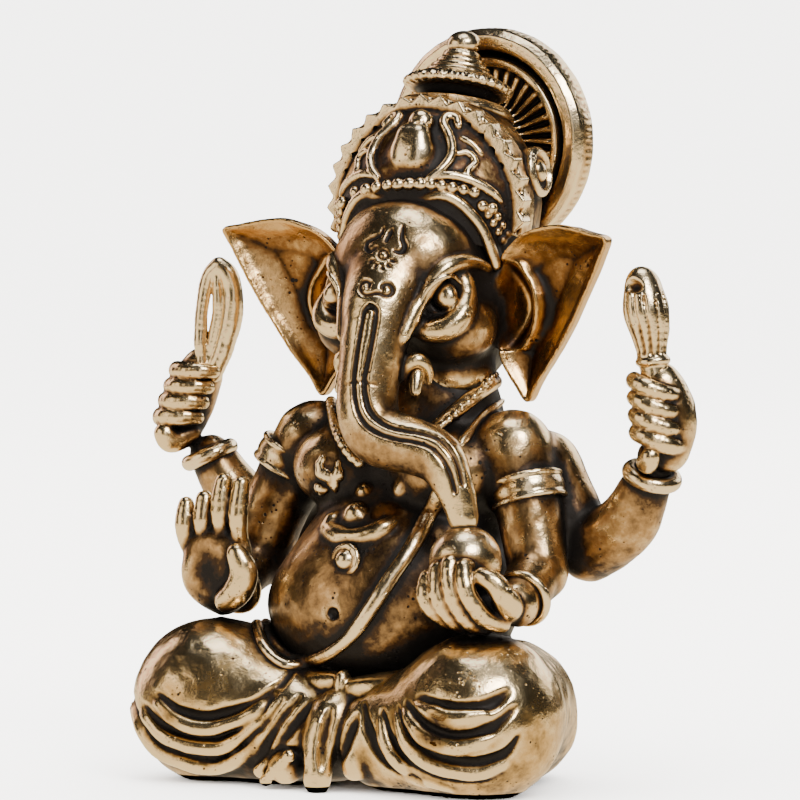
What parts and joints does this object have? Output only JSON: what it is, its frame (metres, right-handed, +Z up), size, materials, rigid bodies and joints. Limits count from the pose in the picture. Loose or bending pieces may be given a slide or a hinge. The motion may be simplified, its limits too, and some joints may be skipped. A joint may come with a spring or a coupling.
{
  "type": "seated deity figurine",
  "caption": "Small cast brass figurine of a seated elephant-headed deity with a crown, a halo and raised rear hands; stands on its own flat foot.",
  "frame": {"origin": "on the ground under the middle of the belly, at the plane of symmetry", "axes": "+Z is up, the figure looks along -Y, and its own left side is +X"},
  "size_m": [0.04, 0.0232, 0.0493],
  "materials": {
    "body_brass": "antiqued cast brass, hand-rubbed on the high spots",
    "cloth_brass": "antiqued cast brass, tooled with folds, darker in the grooves",
    "ornament_brass": "antiqued cast brass, polished on the raised beads and edges"
  },
  "bodies": {
    "root": {"belly": "body_brass", "chest": "body_brass", "crown_arch": "ornament_brass", "crown_beads": "ornament_brass", "crown_brim": "ornament_brass", "crown_dome": "ornament_brass", "crown_finial": "ornament_brass", "crown_gem": "ornament_brass", "crown_ring": "ornament_brass", "crown_side_beads": "ornament_brass", "crown_spire": "ornament_brass", "crown_tier": "ornament_brass", "crown_vines": "ornament_brass", "foot": "body_brass", "front_pleat": "cloth_brass", "gem_scrolls": "ornament_brass", "halo_disc": "ornament_brass", "halo_inner_ring": "ornament_brass", "halo_rim": "ornament_brass", "head": "body_brass", "left_armband": "ornament_brass", "left_bracelet": "ornament_brass", "left_ear": "body_brass", "left_eye": "body_brass", "left_forearm": "body_brass", "left_hand": "body_brass", "left_leg": "cloth_brass", "left_rosette": "ornament_brass", "left_tusk": "body_brass", "left_upper_arm": "body_brass", "lotus_bud": "ornament_brass", "modak": "ornament_brass", "navel": "ornament_brass", "necklace_band": "ornament_brass", "necklace_beads": "ornament_brass", "noose": "ornament_brass", "pendant": "ornament_brass", "rear_left_bracelet": "ornament_brass", "rear_left_forearm": "body_brass", "rear_left_hand": "body_brass", "rear_left_upper_arm": "body_brass", "rear_right_bracelet": "ornament_brass", "rear_right_forearm": "body_brass", "rear_right_hand": "body_brass", "rear_right_upper_arm": "body_brass", "right_armband": "ornament_brass", "right_bracelet": "ornament_brass", "right_ear": "body_brass", "right_eye": "body_brass", "right_forearm": "body_brass", "right_hand": "body_brass", "right_leg": "cloth_brass", "right_rosette": "ornament_brass", "right_tusk": "body_brass", "right_upper_arm": "body_brass", "sacred_thread": "ornament_brass", "seat": "cloth_brass", "toes": "body_brass", "trunk": "body_brass", "waist_sash": "ornament_brass"}
  },
  "joints": []
}
